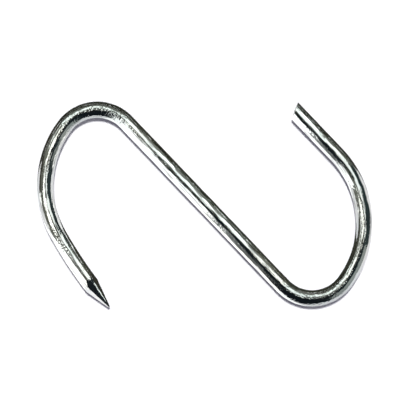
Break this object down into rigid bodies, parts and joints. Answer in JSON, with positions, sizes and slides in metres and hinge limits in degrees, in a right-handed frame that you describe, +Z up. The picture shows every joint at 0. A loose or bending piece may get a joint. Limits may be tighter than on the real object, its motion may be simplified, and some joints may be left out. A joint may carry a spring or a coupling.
{
  "type": "s hook",
  "caption": "S-shaped hook of bright round steel bar, with a blunt end that hangs over a rail and a ground point that takes the load.",
  "frame": {"origin": "under the middle of the straight shank, on the plane that the hook lies on", "axes": "+X along the line of pull, from the seat of the pointed bend towards the seat of the blunt bend; +Y towards the side that the blunt leg is on; +Z up, square to the plane of the hook"},
  "size_m": [0.1236, 0.0918, 0.006],
  "materials": {
    "bright_bar": "bright polished steel bar with fine lengthwise drawing marks, darker ground faces at the point and a bare cut at the blunt end"
  },
  "bodies": {
    "root": {"hook": "bright_bar"}
  },
  "joints": []
}
